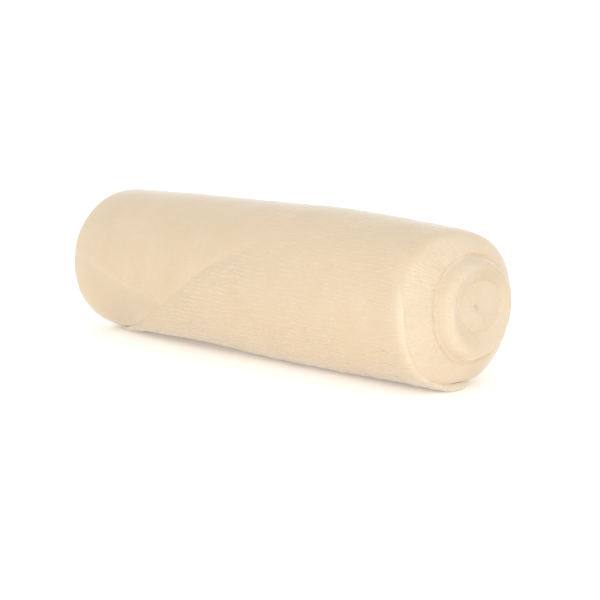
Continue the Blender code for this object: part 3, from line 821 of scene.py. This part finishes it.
gauzeFinish = {  # pitches, sizes and heights in millimetres
    # The thread colour is the cloth's own. The darkest colour tints random clouds and paints shade in the
    # fuzz; the lightest is a painted highlight, the pale one painted light, the dull one painted shade.
    "thread": "#DDC7AB", "mottleAndShade": "#C8AD88", "paintedHighlight": "#F0DFC6", "paintedLight": "#E6D6C0", "paintedShade": "#D2C0A6",
    "roughness": 0.92, "sheen": 1.0, "sheenRoughness": 0.3, "specular": 0.25,
    "weftPitch": 0.8, "ribPitch": 1.0, "warpPitch": 0.36,
    "dashLength": 2.0, "dashHeight": 0.14, "ribHeight": 0.035, "warpHeight": 0.012, "fuzzHeight": 0.05,
    "sway": (1.1, 0.5, 0.0), "swaySize": 5.0,
    "patchSize": (12.0, 4.0, 1.0), "fuzzSize": (0.45, 0.45, 1.0), "cloudSize": (8.0, 8.0, 1.0),
}
gauzeMasks = {  # between low and high, a noise lets the yarns through from `least` to all
    "dash": {"low": 0.40, "high": 0.66, "least": 0.0},
    "patch": {"low": 0.36, "high": 0.62, "least": 0.35},
}
gauzeTones = [  # tints laid over one another: where each comes from, its range and strength
    # painted shade, as strong as its weight at the points
    {"source": "paintedShade", "low": 0.0, "high": 1.0, "least": 0.0, "most": 1.0, "colour": "paintedShade"},
    # painted light, as strong as its weight at the points
    {"source": "paintedLight", "low": 0.0, "high": 1.0, "least": 0.0, "most": 1.0, "colour": "paintedLight"},
    # a random darker tone in broad clouds
    {"source": "cloud", "low": 0.35, "high": 0.70, "least": 0.0, "most": 0.15, "colour": "mottleAndShade"},
    # painted shade in the low places of the fuzz
    {"source": "fuzz", "low": 0.35, "high": 0.65, "least": 0.12, "most": 0.0, "colour": "mottleAndShade"},
    # painted highlight on the crests of the ribs
    {"source": "ribs", "low": 0.0, "high": 1.0, "least": 0.0, "most": 0.10, "colour": "paintedHighlight"},
    # painted highlight on the crests of the weft dashes
    {"source": "dashes", "low": 0.0, "high": 0.8, "least": 0.0, "most": 0.35, "colour": "paintedHighlight"},
]


def cottonCrepeGauze():
    # Undyed cotton gauze, plain woven with hard-twisted warp and left to shrink into a
    # crepe. It gives the eye a matt cream face with faint ribs along the turns, crossed
    # by short bright dashes where the weft yarns stand proud, and a soft fuzz at edges.
    # The brightness on the crests of ribs and dashes is painted highlight, the darker low
    # places of the fuzz painted shade, and two weights at the points lay painted light and shade.
    material = bpy.data.materials.new("cottonCrepeGauze")
    material.use_nodes = True
    tree = material.node_tree
    shader = tree.nodes["Principled BSDF"]
    finish = gauzeFinish
    place = addNode(tree, "ShaderNodeUVMap", {"uv_map": "clothMm"})
    sway = addNode(tree, "ShaderNodeTexNoise", {"Scale": 1 / finish["swaySize"], "Detail": 2.0},
                   {"Vector": place.outputs["UV"]})
    yarnPlace = addNode(tree, "ShaderNodeVectorMath", {"operation": "MULTIPLY_ADD", 1: finish["sway"]},
                        {0: sway.outputs["Color"], 2: place.outputs["UV"]}).outputs["Vector"]
    perBand = math.tau / 20  # at scale 1 the wave texture turns through 20 radians in a unit
    waves, sources, masks = {}, {}, {}
    for part, way in (("weft", "X"), ("rib", "Y"), ("warp", "Y")):
        settings = {"bands_direction": way, "Scale": perBand / finish[part + "Pitch"], "Distortion": 0.0}
        waves[part] = addNode(tree, "ShaderNodeTexWave", settings, {"Vector": yarnPlace}).outputs["Fac"]
    dashSize = (finish["weftPitch"], finish["dashLength"], 1.0)
    for part, size, detail in (("dash", dashSize, 1.0), ("patch", finish["patchSize"], 1.0),
                               ("fuzz", finish["fuzzSize"], 4.0), ("cloud", finish["cloudSize"], 3.0)):
        cells = addNode(tree, "ShaderNodeVectorMath", {"operation": "DIVIDE", 1: size}, {0: yarnPlace})
        sources[part] = addNode(tree, "ShaderNodeTexNoise", {"Scale": 1.0, "Detail": detail},
                                {"Vector": cells.outputs["Vector"]}).outputs["Fac"]
    for part, mask in gauzeMasks.items():
        settings = {1: mask["low"], 2: mask["high"], 3: mask["least"], 4: 1.0}
        masks[part] = addNode(tree, "ShaderNodeMapRange", settings, {0: sources[part]}).outputs[0]
    # two of these weights lay painted light and painted shade
    for part in ("dashes", "ribs", "paintedLight", "paintedShade"):  # the weights at the points
        sources[part] = addNode(tree, "ShaderNodeAttribute", {"attribute_name": part}).outputs["Fac"]
    for part, wave, through in (("dashes", "weft", ("dash", "patch")), ("ribs", "rib", ("patch",))):
        strength = waves[wave]
        for factor in [masks[key] for key in through] + [sources[part]]:
            strength = addNode(tree, "ShaderNodeMath", {"operation": "MULTIPLY"},
                               {0: strength, 1: factor}).outputs[0]
        sources[part] = strength
    height = None
    for source, key in ((sources["dashes"], "dashHeight"), (sources["ribs"], "ribHeight"),
                        (waves["warp"], "warpHeight"), (sources["fuzz"], "fuzzHeight")):
        settings = {"operation": "MULTIPLY_ADD", 1: finish[key], 2: 0.0}
        links = {0: source, 2: height} if height is not None else {0: source}
        height = addNode(tree, "ShaderNodeMath", settings, links).outputs[0]
    bump = addNode(tree, "ShaderNodeBump", {"Strength": 1.0, "Distance": 1 / metre}, {"Height": height})
    tone = None
    for tint in gauzeTones:
        settings = {1: tint["low"], 2: tint["high"], 3: tint["least"], 4: tint["most"]}
        much = addNode(tree, "ShaderNodeMapRange", settings, {0: sources[tint["source"]]}).outputs[0]
        settings = {"data_type": "RGBA", 6: toLinear(finish["thread"]), 7: toLinear(finish[tint["colour"]])}
        links = {0: much, 6: tone} if tone is not None else {0: much}
        tone = addNode(tree, "ShaderNodeMix", settings, links).outputs[2]
    tree.links.new(tone, shader.inputs["Base Color"])
    tree.links.new(bump.outputs["Normal"], shader.inputs["Normal"])
    shader.inputs["Roughness"].default_value = finish["roughness"]
    shader.inputs["Sheen Weight"].default_value = finish["sheen"]
    shader.inputs["Sheen Roughness"].default_value = finish["sheenRoughness"]
    shader.inputs["Specular IOR Level"].default_value = finish["specular"]
    return material


stageForm = {  # metres
    "floorHalf": 3.0, "floorColour": "#FAF9F7", "floorRoughness": 0.9,
    # the floor's painted glow, lowered near the roll to paint the shadow at its foot
    "floorGlow": 0.24, "leastGlow": 0.18, "glowFrom": 0.002, "glowTo": 0.014, "rollHalf": (0.046, 0.0, 0.0),
    "skyHigh": 0.875, "skyLow": 1.04, "skyFrom": 0.12, "skyTo": 0.9, "skyColour": (0.98, 1.0, 0.995, 1.0),
    "keyPower": 0.765, "keySize": 0.35, "keyFrom": (0.376, -0.354, 0.188),
}
cameraForm = {  # metres, and millimetres for the lens and the sensor
    "place": (0.20399, -0.18912, 0.05380),
    "right": (0.6909, 0.7230, 0.0), "up": (-0.1094, 0.1045, 0.9885), "forward": (-0.7147, 0.6829, -0.1513),
    "lens": 81.6, "sensor": 36.0, "nearest": 0.01, "furthest": 20.0,
}


def makeStage():
    # A matt white board with a painted glow, lowered in the strip where the roll lies on it to
    # paint the shadow at its foot: the distance from that strip, by Object coordinates, raises the glow.
    half = stageForm["floorHalf"]
    corners = [(-half, -half, 0), (half, -half, 0), (half, half, 0), (-half, half, 0)]
    data = bpy.data.meshes.new("floor")
    data.from_pydata(corners, [], [(0, 1, 2, 3)])
    floor = bpy.data.objects.new("floor", data)
    bpy.context.scene.collection.objects.link(floor)
    material = bpy.data.materials.new("glowingWhiteBoard")
    material.use_nodes = True
    tree = material.node_tree
    shader = tree.nodes["Principled BSDF"]
    shader.inputs["Base Color"].default_value = toLinear(stageForm["floorColour"])
    shader.inputs["Roughness"].default_value = stageForm["floorRoughness"]
    shader.inputs["Specular IOR Level"].default_value = 0.0
    shader.inputs["Emission Color"].default_value = (1.0, 1.0, 1.0, 1.0)
    place = addNode(tree, "ShaderNodeTexCoord")
    aside = addNode(tree, "ShaderNodeVectorMath", {"operation": "ABSOLUTE"}, {0: place.outputs["Object"]})
    beyond = addNode(tree, "ShaderNodeVectorMath", {"operation": "SUBTRACT", 1: stageForm["rollHalf"]},
                     {0: aside.outputs["Vector"]})
    outside = addNode(tree, "ShaderNodeVectorMath", {"operation": "MAXIMUM", 1: (0.0, 0.0, 0.0)},
                      {0: beyond.outputs["Vector"]})
    distance = addNode(tree, "ShaderNodeVectorMath", {"operation": "LENGTH"}, {0: outside.outputs["Vector"]})
    glow = addNode(tree, "ShaderNodeMapRange",
                   {"interpolation_type": "SMOOTHSTEP", 1: stageForm["glowFrom"], 2: stageForm["glowTo"],
                    3: stageForm["leastGlow"], 4: stageForm["floorGlow"]},
                   {0: distance.outputs["Value"]})
    tree.links.new(glow.outputs[0], shader.inputs["Emission Strength"])
    data.materials.append(material)


def makeLights():
    # A white tent, brightest low down, and one soft round lamp from the front right.
    world = bpy.data.worlds.new("whiteTent")
    bpy.context.scene.world = world
    world.use_nodes = True
    tree = world.node_tree
    background = tree.nodes["Background"]
    direction = addNode(tree, "ShaderNodeTexCoord")
    height = addNode(tree, "ShaderNodeSeparateXYZ", links={0: direction.outputs["Generated"]})
    strength = addNode(tree, "ShaderNodeMapRange",
                       {"interpolation_type": "SMOOTHSTEP", 1: stageForm["skyFrom"], 2: stageForm["skyTo"],
                        3: stageForm["skyLow"], 4: stageForm["skyHigh"]},
                       {0: height.outputs["Z"]})
    background.inputs["Color"].default_value = stageForm["skyColour"]
    tree.links.new(strength.outputs[0], background.inputs["Strength"])
    lamp = bpy.data.lights.new("frontLight", "AREA")
    lamp.shape = "DISK"
    lamp.size = stageForm["keySize"]
    lamp.energy = stageForm["keyPower"]
    key = bpy.data.objects.new("frontLight", lamp)
    bpy.context.scene.collection.objects.link(key)
    key.location = stageForm["keyFrom"]
    key.rotation_euler = (-key.location).to_track_quat("-Z", "Y").to_euler()


def makeCamera():
    # A camera turned by its three axes, looking along `forward`.
    form = cameraForm
    data = bpy.data.cameras.new("camera")
    data.lens, data.sensor_width = form["lens"], form["sensor"]
    data.clip_start, data.clip_end = form["nearest"], form["furthest"]
    camera = bpy.data.objects.new("camera", data)
    bpy.context.scene.collection.objects.link(camera)
    axes = Matrix((form["right"], form["up"], [-c for c in form["forward"]])).transposed().to_4x4()
    camera.matrix_world = Matrix.Translation(form["place"]) @ axes
    bpy.context.scene.camera = camera


def dress(obj, material, *nodes):
    # Gives a piece its material and slot, says which body carries it, and hides the CAD
    # nodes it stands for.
    obj.data.materials.append(material)
    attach(obj, "root")
    if nodes:
        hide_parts(*nodes)


def triangles(obj):
    # How many triangles the faces of a piece come to.
    return sum(len(p.vertices) - 2 for p in obj.data.polygons)


makeCamera()
makeStage()
makeLights()
bpy.context.scene.view_settings.view_transform = "Standard"
print("stage, lights and camera made")

crepeGauze = cottonCrepeGauze()
outerTurns = makeOuterTurns()
middleTurns = makeMiddleTurns()
coreTurns = makeCoreTurns()
for piece in (outerTurns, middleTurns, coreTurns):
    dress(piece, crepeGauze, "wound_roll")
print("wound roll made:", [triangles(o) for o in (outerTurns, middleTurns, coreTurns)], "triangles")

looseEnd = makeLooseEnd()
dress(looseEnd, crepeGauze, "loose_end")
print("loose end made:", triangles(looseEnd), "triangles")
